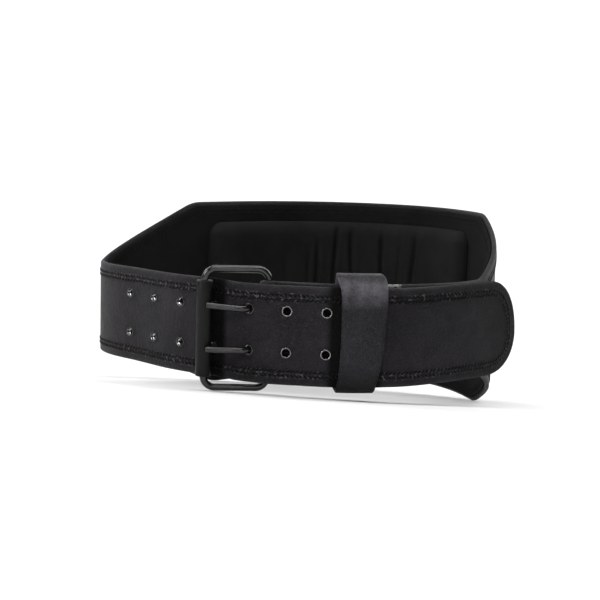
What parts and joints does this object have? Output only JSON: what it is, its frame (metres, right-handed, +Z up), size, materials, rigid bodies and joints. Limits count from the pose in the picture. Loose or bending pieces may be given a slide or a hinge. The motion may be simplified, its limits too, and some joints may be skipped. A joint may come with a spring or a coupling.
{
  "type": "weightlifting belt",
  "caption": "Black leather weightlifting belt, buckled into a loop, with a wide padded back, a pronged roller buckle and a keeper loop.",
  "frame": {"origin": "on the floor under the middle of the bounding box", "axes": "+Z up from the floor, +Y from the buckle towards the wide back, +X to the right as seen from the buckle side"},
  "size_m": [0.3132, 0.2624, 0.1621],
  "materials": {
    "outer_leather": "black grained leather, semi-matt",
    "suede_lining": "black suede, matt",
    "pad_cover": "black suede over foam, matt",
    "keeper_leather": "black grained leather, slight sheen",
    "buckle_metal": "gloss black coating on steel",
    "eyelet_metal": "dark coated steel, glossy"
  },
  "bodies": {
    "belt": {"belt_leather": "outer_leather", "inner_lining": "suede_lining", "back_pad": "pad_cover", "keeper_loop": "keeper_leather", "buckle_frame": "buckle_metal", "prong_upper": "buckle_metal", "prong_lower": "buckle_metal", "eyelet_lower_1": "eyelet_metal", "eyelet_lower_2": "eyelet_metal", "eyelet_lower_3": "eyelet_metal", "eyelet_lower_4": "eyelet_metal", "eyelet_lower_5": "eyelet_metal", "eyelet_lower_6": "eyelet_metal", "eyelet_lower_7": "eyelet_metal", "eyelet_upper_1": "eyelet_metal", "eyelet_upper_2": "eyelet_metal", "eyelet_upper_3": "eyelet_metal", "eyelet_upper_4": "eyelet_metal", "eyelet_upper_5": "eyelet_metal", "eyelet_upper_6": "eyelet_metal", "eyelet_upper_7": "eyelet_metal"},
    "roller": {"roller": "buckle_metal"}
  },
  "joints": [
    {"name": "roller_spin", "type": "hinge", "parent": "belt", "child": "roller", "pos_m": [-0.06773, -0.1073, 0.04288], "axis": [-0.0356, -0.1764, 0.9837], "continuous": true}
  ]
}
